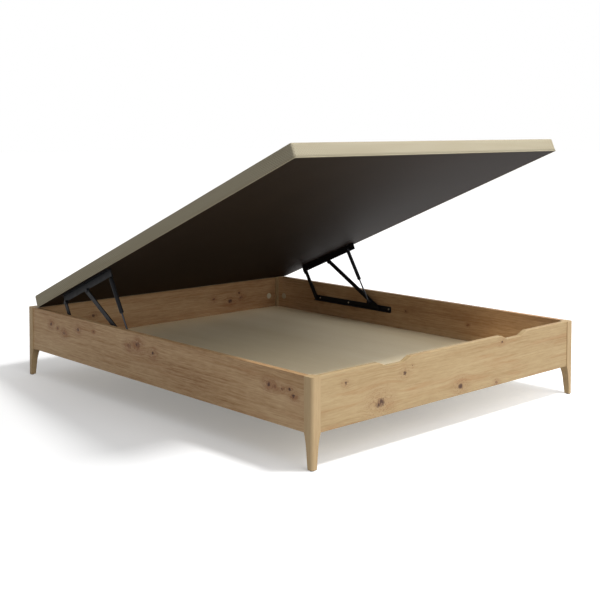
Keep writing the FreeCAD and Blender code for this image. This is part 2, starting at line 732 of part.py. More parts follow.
def make_gas_springs():
    bore = "gas_radius - gas_wall"
    opening = "gas_rod_radius + pin_gap"
    top = "gas_neck + gas_body_length"
    cylinder_body = turned("gas_cylinder_tube", [
        (None, "gas_neck"), ("gas_radius", "gas_neck"), ("gas_radius", top), (opening, top),
        (opening, f"{top} - gas_gland"), (bore, f"{top} - gas_gland"), (bore, "gas_neck + gas_wall"),
        (None, "gas_neck + gas_wall")])
    pair("gas_cylinder", along_gas(cylinder_body, GAS_HIGH, False))
    end = "gas_neck + gas_rod_length"
    rod = turned("gas_rod_shaft", [
        (None, "gas_neck"), ("gas_rod_radius", "gas_neck"), ("gas_rod_radius", f"{end} - gas_piston_length"),
        (f"{bore} - running_gap", f"{end} - gas_piston_length"), (f"{bore} - running_gap", end), (None, end)])
    pair("gas_rod", along_gas(rod, GAS_LOW, True))
    both_sides("gas_cylinder_sockets", along_gas(socket("gas_top_socket", False), GAS_HIGH, False))
    both_sides("gas_rod_sockets", along_gas(socket("gas_bottom_socket", True), GAS_LOW, True))


# Lid: fabric cover over a board on a frame of steel tubes, with a lining below

def on_lid_frame(thing):
    """Carries a piece drawn flat, rear edge at the origin and foot towards -Y, to the raised lid."""
    rear = value("frame_length") / 2 - value("lid_setback")
    base = Vector(0, rear, value("frame_height") + value("lid_lift"))
    thing.Placement = Placement(base, Rotation(Vector(1, 0, 0), -value("lid_angle")))
    return thing


TUBE_HEIGHT = "(lid_thickness - cover_top - lid_board_thickness - lining_thickness)"
LID_WIDTH = "(frame_width - 2 * lid_side_margin)"
LID_LENGTH = "(frame_length - 2 * lid_end_margin)"
TUBE_HALF_X = f"({LID_WIDTH} / 2 - cover_side - lid_fit)"
TUBE_REAR = "(cover_side + lid_fit)"
TUBE_LENGTH = f"({LID_LENGTH} - 2 * {TUBE_REAR})"


def tube(name, size, corner, open_axis):
    """A square-section tube, open at its two ends."""
    outer = block(name + "_outer", size, corner)
    inner_size = [f"{s} - 2 * tube_wall" for s in size]
    inner_corner = [f"{c} + tube_wall" for c in corner]
    inner_size[open_axis] = f"{size[open_axis]} + 2 * overrun"
    inner_corner[open_axis] = f"{corner[open_axis]} - overrun"
    return outer, block(name + "_inner", inner_size, inner_corner)


def make_lid_frame(screw_tools):
    across_size = (f"2 * {TUBE_HALF_X}", "tube_width", TUBE_HEIGHT)
    head_y, foot_y = f"-{TUBE_REAR} - tube_width", f"-{TUBE_REAR} - {TUBE_LENGTH}"
    for name, y in (("lid_head_tube", head_y), ("lid_foot_tube", foot_y)):
        outer, inner = tube(name, across_size, (f"-{TUBE_HALF_X}", y, "lining_thickness"), 0)
        keep(name, on_lid_frame(cut(name, outer, [inner])))
    run = f"({TUBE_LENGTH} - 2 * tube_width)"
    left_x, right_x = f"-{TUBE_HALF_X}", f"{TUBE_HALF_X} - tube_width"
    for name, side, x in (("left_lid_tube", -1, left_x), ("right_lid_tube", 1, right_x)):
        outer, inner = tube(name, ("tube_width", run, TUBE_HEIGHT),
                            (x, f"-{TUBE_REAR} - tube_width - {run}", "lining_thickness"), 1)
        keep(name, on_lid_frame(cut(name, outer, [inner] + screw_tools[side])))
    crosses = []
    for number in range(1, CROSS_TUBES + 1):
        y = f"-{TUBE_REAR} - tube_width - {run} * {number} / {CROSS_TUBES + 1} - cross_tube_width / 2"
        size = (f"2 * ({TUBE_HALF_X} - tube_width)", "cross_tube_width", TUBE_HEIGHT)
        outer, inner = tube(f"cross_tube{number}", size,
                            (f"-{TUBE_HALF_X} + tube_width", y, "lining_thickness"), 0)
        crosses.append(cut(f"cross_tube{number}", outer, [inner]))
    keep("lid_cross_tubes", on_lid_frame(group("lid_cross_tubes", crosses)))


def make_lid_skins(screw_tools):
    sheet_size = (f"2 * {TUBE_HALF_X}", TUBE_LENGTH)
    corner = (f"-{TUBE_HALF_X}", f"-{TUBE_REAR} - {TUBE_LENGTH}")
    board = block("lid_board_slab", (*sheet_size, "lid_board_thickness"),
                  (*corner, f"lining_thickness + {TUBE_HEIGHT}"))
    keep("lid_board", on_lid_frame(group("lid_board", [board])))
    lining = block("lid_lining_slab", (*sheet_size, "lining_thickness"), (*corner, "0"))
    keep("lid_lining", on_lid_frame(cut("lid_lining", lining, screw_tools[-1] + screw_tools[1])))
    outer = block("lid_cover_block", (LID_WIDTH, LID_LENGTH, "lid_thickness"),
                  (f"-{LID_WIDTH} / 2", f"-{LID_LENGTH}", "0"))
    doc.recompute()
    eased = doc.addObject("Part::Fillet", "lid_cover_eased")
    eased.Base = outer
    radius = value("cover_round")
    upper = [n for n, edge in enumerate(outer.Shape.Edges, start=1) if edge.BoundBox.ZMax > radius]
    eased.Edges = [(number, radius, radius) for number in upper]
    hollow_size = (f"{LID_WIDTH} - 2 * cover_side", f"{LID_LENGTH} - 2 * cover_side",
                   "lid_thickness - cover_top + overrun")
    hollow = block("lid_cover_hollow", hollow_size,
                   (f"-{LID_WIDTH} / 2 + cover_side", f"-{LID_LENGTH} + cover_side", "-overrun"))
    keep("lid_cover", on_lid_frame(cut("lid_cover", eased, [hollow])))


# Upper rails under the lid, with their pins, studs and screws

def make_upper_rails():
    rear_end = "(rear_pivot_reach - upper_rail_rear_reach)"
    length = "(gas_pivot_reach - rear_pivot_reach + upper_rail_rear_reach + upper_rail_front_reach)"
    body = angle_rail("upper_rail_bar", [
        (None, None), ("rail_wall", None), ("rail_wall", "upper_rail_depth - rail_wall"),
        ("upper_rail_flange", "upper_rail_depth - rail_wall"), ("upper_rail_flange", "upper_rail_depth"),
        (None, "upper_rail_depth")], length)
    place_at(body, UPPER_RAIL_INNER, f"-{rear_end} - {length} / 2", "-upper_rail_depth")
    lugs = []
    for name, reach in (("rear", "rear_pivot_reach"), ("front", "front_pivot_reach")):
        lugs.append(cylinder(f"{name}_lug_round", "upper_rail_lug_radius", "rail_wall",
                             (UPPER_RAIL_INNER, f"-{reach}", "-lid_pivot_drop"), Vector(1, 0, 0)))
        lugs.append(block(f"{name}_lug_web", ("rail_wall", "2 * upper_rail_lug_radius", "lid_pivot_drop"),
                          (UPPER_RAIL_INNER, f"-{reach} - upper_rail_lug_radius", "-lid_pivot_drop")))
    rail = fused("upper_rail_lugged", [body] + lugs)
    holes = [("rear", "rear_pivot_reach", "lid_pivot_drop", "pin_radius"),
             ("front", "front_pivot_reach", "lid_pivot_drop", "pin_radius"),
             ("gas", "gas_pivot_reach", "gas_pivot_drop", "stud_radius")]
    tools = [cylinder(f"upper_{name}_hole", f"{radius} + pin_gap", "rail_wall + 2 * overrun",
                      (f"{UPPER_RAIL_INNER} - overrun", f"-{reach}", f"-{drop}"), Vector(1, 0, 0))
             for name, reach, drop, radius in holes]
    screws = []
    lid_tools = {-1: [], 1: []}
    middle = f"({UPPER_RAIL_OUTER} + (upper_rail_flange - rail_wall) / 2)"
    grip = "rail_wall + lining_thickness + tube_wall"
    for number, share in enumerate(UPPER_SCREW_SHARES):
        y = f"(-{rear_end} - {share} * {length})"
        for side in SIDES:
            key = f"upper_screw{number}_{side + 1}"
            screw = stepped(key, [("screw_head_radius", "screw_head"),
                                  ("screw_radius", f"{grip} + screw_bite / 2")])
            place_at(screw, signed(side, middle), y, "-rail_wall - screw_head")
            screws.append(screw)
            hole = cylinder(key + "_hole", "screw_radius + bore_gap", f"{grip} + 2 * overrun",
                            (signed(side, middle), y, "-rail_wall - overrun"), Vector(0, 0, 1))
            lid_tools[side].append(hole)
    pair("upper_rail", on_lid_frame(cut("upper_rail", rail, tools + lid_tools[1])))
    keep("upper_rail_screws", on_lid_frame(group("upper_rail_screws", screws)))
    seat = [("pin_radius", "rail_wall"), ("pin_collar_radius", "upper_rail_gap - running_gap")]
    rear_pin = stepped("rear_arm_upper_shaft", seat + [
        ("pin_radius", "arm_thickness + 2 * running_gap"), ("pin_collar_radius", "pin_head")])
    both_sides("rear_arm_upper_pins", across(rear_pin, UPPER_RAIL_INNER, REAR_HIGH, False))
    front_pin = stepped("front_arm_upper_shaft", seat)
    both_sides("front_arm_upper_pins", across(front_pin, UPPER_RAIL_INNER, FRONT_HIGH, False))
    stud = stepped("gas_upper_stud", [("stud_radius", "rail_wall"),
                                      ("stud_collar_radius", "gas_gap - running_gap")])
    both_sides("gas_upper_studs", across(stud, UPPER_RAIL_OUTER, GAS_HIGH, True))
    return lid_tools


# Build

corner_tools = corner_hardware()
rail_pilots = make_lower_rails()
make_panels(corner_tools, rail_pilots)
make_legs(corner_tools)
make_floor()
make_arms()
make_gas_springs()
lid_screw_tools = make_upper_rails()
make_lid_frame(lid_screw_tools)
make_lid_skins(lid_screw_tools)
doc.recompute()

# Nothing is written unless every object and every sub-part came out sound
for thing in doc.Objects:
    if {"Invalid", "Error"} & set(thing.State):
        raise RuntimeError(f"{thing.Name} failed: {thing.State}")
for name, thing in nodes.items():
    if thing.Shape.isNull() or not thing.Shape.isValid() or not thing.Shape.Solids:
        raise RuntimeError(f"{name} has no sound solid")

os.makedirs("parts", exist_ok=True)
for name, thing in nodes.items():
    thing.Shape.exportStep(f"parts/{name}.step")
print(f"{len(nodes)} sub-parts; gas spring {GAS_SPAN:.1f} mm long when open")
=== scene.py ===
"""Looks of the lift-up storage bed base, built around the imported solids. Lengths are in metres."""

import json
import math

import bmesh
import bpy
from mathutils import Matrix, Vector, noise


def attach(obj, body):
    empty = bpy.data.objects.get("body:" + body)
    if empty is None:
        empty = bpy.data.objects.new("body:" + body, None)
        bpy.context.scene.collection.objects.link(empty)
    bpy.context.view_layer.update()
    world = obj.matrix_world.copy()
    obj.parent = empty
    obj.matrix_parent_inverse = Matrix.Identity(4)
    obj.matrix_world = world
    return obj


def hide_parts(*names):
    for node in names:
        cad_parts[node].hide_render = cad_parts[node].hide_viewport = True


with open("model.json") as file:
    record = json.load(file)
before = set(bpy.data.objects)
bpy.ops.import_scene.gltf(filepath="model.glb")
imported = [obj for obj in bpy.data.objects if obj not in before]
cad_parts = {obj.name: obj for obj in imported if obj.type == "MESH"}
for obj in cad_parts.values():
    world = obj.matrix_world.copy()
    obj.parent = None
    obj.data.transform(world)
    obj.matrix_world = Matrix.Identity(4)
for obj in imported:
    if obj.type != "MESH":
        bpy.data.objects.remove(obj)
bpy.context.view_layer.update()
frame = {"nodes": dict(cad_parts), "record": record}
NODES = frame["nodes"]
MOUNTS = {mount["name"]: mount for mount in frame["record"]["mounts"]}


def srgb(red, green, blue):
    """A colour written as the eye sees it, from 0 to 255, as linear light."""
    def linear(value):
        value /= 255
        return value / 12.92 if value <= 0.04045 else ((value + 0.055) / 1.055) ** 2.4
    return (linear(red), linear(green), linear(blue), 1.0)


# Camera, fitted to the corners of the wooden frame in the photograph
CAMERA_PLACE = (-3.3391, -3.6829, 1.2120)
CAMERA_YAW = math.radians(42.731)
CAMERA_PITCH = math.radians(2.877)
CAMERA_LENS = 63.824
CAMERA_SENSOR = 36.0
CAMERA_SHIFT = -0.20

# Light: a round lamp high on the right, a broad one from the foot end, and an even sky
KEY_PLACE = (0.60, -2.30, 4.40)
KEY_AIM = (0.0, 0.0, 0.3)
KEY_WIDTH = 0.8
KEY_POWER = 188.0
FILL_FROM = (0.06, -0.82, 0.57)
FILL_STRENGTH = 1.60
FILL_SPREAD = math.radians(55)
SKY_STRENGTH = 0.32
WHITE = (1, 1, 1, 1)

# Studio floor: its tone where it is seen and for bounced light, and a glow that grows away from the shadow
STAGE_SPAN = 80.0
STAGE_ROUGHNESS = 0.9
STAGE_TONE = 0.73
STAGE_BOUNCE = 0.65
STAGE_GLOW_CENTRE = (-0.9, -0.1)
STAGE_GLOW_FADE = (0.4, 2.8)
STAGE_GLOW = (0.22, 0.62)

# Lid cover, its piping and the lining
COVER_CORNER = 0.012
COVER_EDGE = 0.008
COVER_LEAST_CORNER = COVER_EDGE / 8
COVER_EDGE_STEPS = 4
COVER_CORNER_STEPS = 6
COVER_CELL = 0.04
COVER_LEVELS = 4
COVER_INSETS = (0.03, 0.10, 0.25, 0.50)
COVER_WAVE = 0.0008
COVER_WAVE_SCALE = 7.0
INNER_CORNER = 0.006
PIPING_RADIUS = 0.0013
PIPING_SIDES = 8
PIPING_TUCK_SHARE = 0.35
LINING_CELL = 0.05
LINING_MARGIN = 4 * LINING_CELL
LINING_SAG = 0.0008
LINING_RIPPLE_SCALES = (2.5, 5.0)
LINING_RIPPLE_LEVEL = 0.3

# Knots of the boards, as place along the board, height above the floor and radius
LEFT_KNOTS = [(0.794, 0.276, 0.008), (0.735, 0.266, 0.005), (0.676, 0.250, 0.009), (0.552, 0.282, 0.008),
              (0.420, 0.292, 0.004), (0.137, 0.272, 0.010), (0.069, 0.286, 0.013), (-0.041, 0.269, 0.009),
              (-0.774, 0.270, 0.009), (-0.807, 0.268, 0.008), (-0.850, 0.266, 0.005), (-0.889, 0.272, 0.006),
              (-0.911, 0.251, 0.007)]
FOOT_KNOTS = [(-0.641, 0.287, 0.006), (-0.460, 0.182, 0.020), (-0.325, 0.274, 0.008), (-0.279, 0.294, 0.003),
              (0.014, 0.168, 0.013), (0.252, 0.143, 0.007), (0.286, 0.309, 0.006)]
HEAD_KNOTS = [(0.430, 0.225, 0.012), (0.511, 0.238, 0.009), (0.498, 0.264, 0.006), (0.315, 0.246, 0.006),
              (-0.463, 0.250, 0.008)]
RIGHT_KNOTS = [(0.600, 0.250, 0.009), (0.350, 0.250, 0.010), (-0.030, 0.256, 0.004), (-0.433, 0.238, 0.004),
               (-0.740, 0.190, 0.012), (-0.800, 0.220, 0.008)]
KNOT_STRETCH = 1.35
KNOT_BEND_SHARE = -0.7
KNOT_BEND_FADE = -0.10
HEART_EDGE = (0.45, 1.10)
STAIN_EDGE = (0.5, 5.0)

# Noises: scales along three axes, detail, roughness and a shift along the first axis
DRIFT = ((1.6, 4.0, 4.0), 2, 0.50, 0.0)
RAGGED = ((120, 170, 170), 3, 0.65, 0.0)
JAGGED = ((150, 110, 150), 3, 0.65, 5.0)
BROAD = ((0.9, 9, 9), 3, 0.55, 0.0)
BANDS = ((3.5, 150, 60), 4, 0.60, 0.0)
MOTTLE = ((22, 130, 130), 3, 0.60, 29.0)
FIBRES = ((9, 520, 520), 2, 0.50, 0.0)
PORES = ((26, 760, 760), 1, 0.50, 0.0)
FLAME = ((3.5, 42, 42), 3, 0.60, 17.0)
SPECKS = ((90, 300, 300), 2, 0.50, 0.0)
CHIPS = ((70, 90, 90), 2, 0.50, 3.0)
SMEAR = ((24, 90, 90), 3, 0.65, 7.0)
PAINT_CLOUD = ((40, 40, 40), 3, 0.50, 0.0)
PAINT_PEEL = ((1400, 1400, 1400), 1, 0.50, 0.0)
STEEL_LINES = ((60, 900, 900), 2, 0.50, 0.0)
STEEL_CLOUD = ((70, 70, 70), 2, 0.50, 0.0)
PLASTIC_GRAIN = ((900, 900, 900), 2, 0.50, 0.0)
PLASTIC_CLOUD = ((25, 25, 25), 2, 0.50, 0.0)
BOARD_BROAD = ((6, 0.8, 6), 3, 0.50, 0.0)
BOARD_FINE = ((420, 12, 420), 3, 0.60, 0.0)
MESH_YARN = ((700, 700, 700), 2, 0.50, 0.0)
MESH_CLOUD = ((3, 3, 60), 3, 0.50, 0.0)
FELT_FIBRES = ((520, 520, 520), 3, 0.65, 0.0)
FELT_CLOUD = ((5, 5, 5), 3, 0.50, 0.0)
NOISE_MIDDLE = 0.5
NOISE_SPAN = (0.3, 0.7)

# Wood: axes along, across and through the board, reach of its sways, edges of its marks and their shares
GRAIN_AXES = {"x": (0, 2, 1), "y": (1, 2, 0), "z": (2, 0, 1)}
DRIFT_REACH = 0.012
RAGGED_REACH = 0.022
JAGGED_REACH = 0.016
PORE_EDGE = (0.60, 0.72)
FLAME_EDGE = (0.50, 0.78)
SPECK_EDGE = (0.52, 0.64)
CHIP_EDGE = (0.40, 0.54)
SMEAR_EDGE = (0.36, 0.62)
TONE_REACH = 0.20
TONE_SHARES = (0.38, 0.24, 0.20, 0.18)
PORE_SHARE = 0.22
SPECK_SHARE = 0.45
HEART_SHARE = 0.62
CHIP_SHARE = 0.85
SMEAR_LEAST_SHARE = 0.25
WOOD_SPECULAR = 0.3
WOOD_ROUGHNESS = (0.64, 0.54)
WOOD_RELIEF_SHARES = (0.5, -0.5)
PLAIN_BLUSH = 0.15
OAK_BLUSH = 0.45

# Wood tones, light, middle and dark, those of the oak boards before their shift, and browns of the marks
OAK_TONES = ((186, 165, 128), (168, 144, 106), (140, 112, 76))
POST_TONES = (srgb(188, 165, 128), srgb(175, 150, 113), srgb(157, 132, 96))
SOFTWOOD_TONES = (srgb(222, 196, 152), srgb(206, 176, 130), srgb(186, 152, 106))
PORE_BROWN = srgb(128, 96, 62)
FLAME_BROWN = srgb(150, 104, 64)
SMEAR_BROWN = srgb(132, 86, 54)
SPECK_BROWN = srgb(104, 66, 42)
HEART_BROWN = srgb(112, 72, 50)
CHIP_BROWN = srgb(56, 35, 29)

# Metal and plastic
BLACK_PAINT = srgb(14, 14, 17)
ROD_GREY = srgb(66, 66, 70)
ZINC_GREY = srgb(196, 196, 192)
GLIDE_BLACK = srgb(38, 38, 38)
CAP_CREAM = srgb(196, 184, 158)
PAINT_SPECULAR = 0.14
PAINT_LIGHTER = 1.7
PAINT_SPREAD = 0.06
STEEL_DARKER = 0.72
STEEL_SPREAD = (0.07, 0.08)
PLASTIC_DARKER = 0.88
PLASTIC_SPREAD = 0.05

# Storage floor board
BOARD_TONES = (srgb(236, 217, 178), srgb(249, 233, 199))
BOARD_TONE_EDGE = (0.34, 0.66)
BOARD_SHARES = (0.5, 0.5)
BOARD_ROUGHNESS = (0.50, 0.60)

# Mesh fabric of the cover and its piping, light and dark
COVER_TONES = (srgb(165, 158, 138), srgb(159, 151, 130))
PIPING_TONES = (srgb(192, 184, 160), srgb(184, 175, 150))
COVER_PITCH = 0.0125
PIPING_PITCH = 0.0040
YARN_SHADE = srgb(120, 108, 84)
# Painted shade inside the mesh's open cells
HOLE_PAINTED_SHADE = srgb(96, 85, 66)
HOLE_EDGE = (-0.1, 0.7)
YARN_SHARE = 0.22
HOLE_SHARE = 0.50
YARN_RISE_SHARE = 0.3
MESH_ROUGHNESS = 0.86
MESH_SPECULAR = 0.1

# Felt of the lining
FELT_TONES = (srgb(21, 12, 8), srgb(31, 21, 16))
FELT_TONE_EDGE = (0.35, 0.65)
FELT_SHARES = (0.6, 0.4)
FELT_SHEEN = srgb(255, 238, 220)
FELT_ROUGHNESS = 0.62
FELT_SPECULAR = 0.09

# Relief of the finishes, as depth and strength
WOOD_RELIEF = (0.0003, 0.5)
PAINT_RELIEF = (0.0001, 0.25)
PLASTIC_RELIEF = (0.0001, 0.3)
BOARD_RELIEF = (0.0002, 0.2)
MESH_RELIEF = (0.0007, 0.6)
FELT_RELIEF = (0.0004, 0.5)

# Sockets of a Mix node that mixes colours
MIX_FACTOR = 0
MIX_FIRST = 6
MIX_SECOND = 7
MIX_RESULT = 2


# Materials

class Graph:
    """A material's nodes, made by short calls that take numbers or sockets."""

    def __init__(self, name, roughness=0.5, metallic=0.0, specular=0.5):
        self.material = bpy.data.materials.new(name)
        self.material.use_nodes = True
        self.tree = self.material.node_tree
        self.tree.nodes.clear()
        self.shader = self.tree.nodes.new("ShaderNodeBsdfPrincipled")
        self.shader.inputs["Roughness"].default_value = roughness
        self.shader.inputs["Metallic"].default_value = metallic
        self.shader.inputs["Specular IOR Level"].default_value = specular
        output = self.tree.nodes.new("ShaderNodeOutputMaterial")
        self.tree.links.new(self.shader.outputs["BSDF"], output.inputs["Surface"])

    def feed(self, socket, source):
        if isinstance(source, bpy.types.NodeSocket):
            self.tree.links.new(source, socket)
        else:
            socket.default_value = source

    def node(self, kind, *sources, **settings):
        made = self.tree.nodes.new(kind)
        for key, value in settings.items():
            setattr(made, key, value)
        for socket, source in zip(made.inputs, sources):
            self.feed(socket, source)
        return made

    def coordinates(self, kind):
        """Coordinates of one kind, as three sockets."""
        coords = self.tree.nodes.new("ShaderNodeTexCoord").outputs[kind]
        return self.node("ShaderNodeSeparateXYZ", coords).outputs

    def place(self):
        """The place on the object, in its own axes."""
        return self.coordinates("Object")

    def facing(self):
        """The way the surface faces, in the object's own axes."""
        return self.coordinates("Normal")

    def math(self, operation, first, second=0.0):
        return self.node("ShaderNodeMath", first, second, operation=operation).outputs[0]

    def product(self, total, *others):
        for other in others:
            total = self.math("MULTIPLY", total, other)
        return total

    def blend(self, *shares):
        """The sum of several values, each times its share."""
        total = 0.0
        for value, share in shares:
            total = self.math("ADD", total, self.math("MULTIPLY", value, share))
        return total

    def sway(self, value, chance, reach):
        """A value moved to and fro by a noise."""
        swing = self.math("SUBTRACT", chance, NOISE_MIDDLE)
        return self.math("ADD", value, self.math("MULTIPLY", swing, reach))

    def noise(self, place, look, start=0.0):
        """One of the noises listed above, at a place given by three sockets."""
        scales, detail, rough, shift = look
        x, y, z = (self.math("MULTIPLY", part, scale) for part, scale in zip(place, scales))
        made = self.tree.nodes.new("ShaderNodeTexNoise")
        point = self.node("ShaderNodeCombineXYZ", self.math("ADD", x, start + shift), y, z)
        self.feed(made.inputs["Vector"], point.outputs[0])
        made.inputs["Scale"].default_value = 1.0
        made.inputs["Detail"].default_value = detail
        made.inputs["Roughness"].default_value = rough
        return made.outputs["Fac"]

    def remap(self, value, low, high, to_low=0.0, to_high=1.0):
        made = self.node("ShaderNodeMapRange", value, low, high, to_low, to_high,
                         interpolation_type="SMOOTHSTEP")
        return made.outputs[0]

    def ramp(self, factor, stops):
        made = self.node("ShaderNodeValToRGB", factor)
        elements = made.color_ramp.elements
        for position, _ in stops[1:-1]:
            elements.new(position)
        for element, (position, colour) in zip(elements, stops):
            element.position = position
            element.color = colour
        return made.outputs["Color"]

    def mix(self, factor, first, second):
        made = self.tree.nodes.new("ShaderNodeMix")
        made.data_type = "RGBA"
        self.feed(made.inputs[MIX_FACTOR], factor)
        self.feed(made.inputs[MIX_FIRST], first)
        self.feed(made.inputs[MIX_SECOND], second)
        return made.outputs[MIX_RESULT]

    def colour(self, source):
        self.feed(self.shader.inputs["Base Color"], source)

    def roughness(self, source):
        self.feed(self.shader.inputs["Roughness"], source)

    def bump(self, height, depth, strength):
        made = self.tree.nodes.new("ShaderNodeBump")
        made.inputs["Strength"].default_value = strength
        made.inputs["Distance"].default_value = depth
        self.feed(made.inputs["Height"], height)
        self.tree.links.new(made.outputs["Normal"], self.shader.inputs["Normal"])


def scaled(tone, factor):
    """A colour made lighter or darker."""
    return tuple(min(1.0, part * factor) for part in tone[:3]) + (1.0,)


def knot(graph, along, up, spot):
    """Marks of one knot: how far it bends the grain, its dark heart and the stained wood round it."""
    centre, height, radius = spot
    across = graph.math("SUBTRACT", along, centre)
    above = graph.math("SUBTRACT", up, height)
    wide = graph.math("DIVIDE", across, radius * KNOT_STRETCH)
    tall = graph.math("DIVIDE", above, radius)
    square = graph.math("ADD", graph.math("MULTIPLY", wide, wide), graph.math("MULTIPLY", tall, tall))
    reach = graph.math("SQRT", square)
    fade = graph.math("EXPONENT", graph.math("MULTIPLY", square, KNOT_BEND_FADE))
    bend = graph.product(above, KNOT_BEND_SHARE, fade)
    heart = graph.remap(reach, *HEART_EDGE, 1.0, 0.0)
    stain = graph.remap(reach, *STAIN_EDGE, 1.0, 0.0)
    return bend, heart, stain


def knotted(graph, board, knots, start):
    """The board's grain, bent round its knots, and the hearts and stains of the knots."""
    run, up, _ = board
    grain = graph.sway(up, graph.noise(board, DRIFT, start), DRIFT_REACH)
    edge_run = graph.sway(run, graph.noise(board, RAGGED, start), RAGGED_REACH)
    edge_up = graph.sway(up, graph.noise(board, JAGGED, start), JAGGED_REACH)
    heart = stain = 0.0
    for spot in knots:
        bend, core, halo = knot(graph, edge_run, edge_up, spot)
        grain = graph.math("ADD", grain, bend)
        heart = graph.math("MAXIMUM", heart, core)
        stain = graph.math("MAXIMUM", stain, halo)
    return grain, heart, stain


def stained(graph, colour, line, start, heart, stain, smudge):
    """The wood's colour with smears, specks, hearts and chips of its knots."""
    specks = graph.remap(graph.noise(line, SPECKS, start), *SPECK_EDGE)
    chips = graph.remap(graph.noise(line, CHIPS, start), *CHIP_EDGE)
    smear = graph.remap(graph.noise(line, SMEAR, start), *SMEAR_EDGE, smudge * SMEAR_LEAST_SHARE, smudge)
    colour = graph.mix(graph.product(stain, smear), colour, SMEAR_BROWN)
    colour = graph.mix(graph.product(stain, specks, SPECK_SHARE), colour, SPECK_BROWN)
    colour = graph.mix(graph.product(heart, HEART_SHARE), colour, HEART_BROWN)
    return graph.mix(graph.product(heart, chips, CHIP_SHARE), colour, CHIP_BROWN)


def wood(name, along, knots, tones, start, contrast=1.0, blush=PLAIN_BLUSH, smudge=0.0):
    """Sawn wood with its grain along one axis, bent round the knots that are given."""
    graph = Graph(name, specular=WOOD_SPECULAR)
    place = graph.place()
    board = [place[axis] for axis in GRAIN_AXES[along]]
    grain, heart, stain = knotted(graph, board, knots, start)
    line = (board[0], grain, board[2])
    broad, bands, mottle, fibres = (graph.noise(line, look, start) for look in (BROAD, BANDS, MOTTLE, FIBRES))
    pores = graph.remap(graph.noise(line, PORES, start), *PORE_EDGE)
    flame = graph.remap(graph.noise(line, FLAME, start), *FLAME_EDGE, 0.0, blush)
    tone = graph.blend(*zip((broad, bands, mottle, fibres), TONE_SHARES))
    light, middle, dark = tones
    reach = TONE_REACH / contrast
    stops = [(NOISE_MIDDLE - reach, dark), (NOISE_MIDDLE, middle), (NOISE_MIDDLE + reach, light)]
    colour = graph.ramp(tone, stops)
    colour = graph.mix(graph.product(pores, PORE_SHARE), colour, PORE_BROWN)
    colour = graph.mix(flame, colour, FLAME_BROWN)
    if knots:
        colour = stained(graph, colour, line, start, heart, stain, smudge)
    graph.colour(colour)
    graph.roughness(graph.remap(bands, *NOISE_SPAN, *WOOD_ROUGHNESS))
    graph.bump(graph.blend(*zip((fibres, pores), WOOD_RELIEF_SHARES)), *WOOD_RELIEF)
    return graph.material


def oak_board(name, along, knots, start, ruddy_and_painted_shade=0, pale=0, smudge=0.6, contrast=1.8):
    """An oak board, redder, paler or more stained round its knots where that is asked for; making it redder
    also darkens it, which on the head board is partly painted shade.
    """
    tones = [srgb(red + pale, green + pale - ruddy_and_painted_shade, blue + pale - ruddy_and_painted_shade) for red, green, blue in OAK_TONES]
    return wood(name, along, knots, tones, start, contrast, OAK_BLUSH, smudge)


def painted_steel(name, tone, rough):
    """Powder-coated steel: nearly black, with a fine grain that breaks up the gloss."""
    graph = Graph(name, specular=PAINT_SPECULAR)
    place = graph.place()
    cloud = graph.noise(place, PAINT_CLOUD)
    graph.colour(graph.mix(cloud, tone, scaled(tone, PAINT_LIGHTER)))
    graph.roughness(graph.remap(cloud, *NOISE_SPAN, rough - PAINT_SPREAD, rough + PAINT_SPREAD))
    graph.bump(graph.noise(place, PAINT_PEEL), *PAINT_RELIEF)
    return graph.material


def bare_steel(name, tone, rough):
    """Plated or drawn steel with faint lines and a cloudy gloss."""
    graph = Graph(name, metallic=1.0)
    place = graph.place()
    smoother, rougher = STEEL_SPREAD
    graph.colour(graph.mix(graph.noise(place, STEEL_CLOUD), scaled(tone, STEEL_DARKER), tone))
    lines = graph.noise(place, STEEL_LINES)
    graph.roughness(graph.remap(lines, *NOISE_SPAN, rough - smoother, rough + rougher))
    return graph.material


def plastic(name, tone, rough):
    """Moulded plastic with a fine matt grain."""
    graph = Graph(name)
    place = graph.place()
    grain = graph.noise(place, PLASTIC_GRAIN)
    graph.colour(graph.mix(graph.noise(place, PLASTIC_CLOUD), scaled(tone, PLASTIC_DARKER), tone))
    graph.roughness(graph.remap(grain, *NOISE_SPAN, rough - PLASTIC_SPREAD, rough + PLASTIC_SPREAD))
    graph.bump(grain, *PLASTIC_RELIEF)
    return graph.material


def cream_board(name):
    """Cream-coloured board with a faint long grain."""
    graph = Graph(name)
    place = graph.place()
    fine = graph.noise(place, BOARD_FINE)
    tone = graph.blend(*zip((graph.noise(place, BOARD_BROAD), fine), BOARD_SHARES))
    graph.colour(graph.ramp(tone, list(zip(BOARD_TONE_EDGE, BOARD_TONES))))
    graph.roughness(graph.remap(fine, *NOISE_SPAN, *BOARD_ROUGHNESS))
    graph.bump(fine, *BOARD_RELIEF)
    return graph.material


def mesh_fabric(name, tones, pitch):
    """Spacer mesh: staggered rows of small open cells, darkened with painted shade, with slow changes of tone
    across the cloth.
    """
    graph = Graph(name, roughness=MESH_ROUGHNESS, specular=MESH_SPECULAR)
    place = graph.place()
    light, dark = tones
    turns = 2 * math.pi / pitch
    waves = [graph.math("COSINE", graph.math("MULTIPLY", part, turns)) for part in place]
    facing = [graph.math("MULTIPLY", part, part) for part in graph.facing()]
    cells = graph.blend(*((graph.product(waves[i - 1], waves[i - 2]), facing[i]) for i in range(3)))
    holes = graph.remap(cells, *HOLE_EDGE)
    yarn = graph.noise(place, MESH_YARN)
    cloth = graph.mix(graph.remap(graph.noise(place, MESH_CLOUD), *NOISE_SPAN), dark, light)
    cloth = graph.mix(graph.product(yarn, YARN_SHARE), cloth, YARN_SHADE)
    # Painted shade darkens the open cells.
    graph.colour(graph.mix(graph.product(holes, HOLE_SHARE), cloth, HOLE_PAINTED_SHADE))
    graph.bump(graph.math("SUBTRACT", graph.product(yarn, YARN_RISE_SHARE), holes), *MESH_RELIEF)
    return graph.material


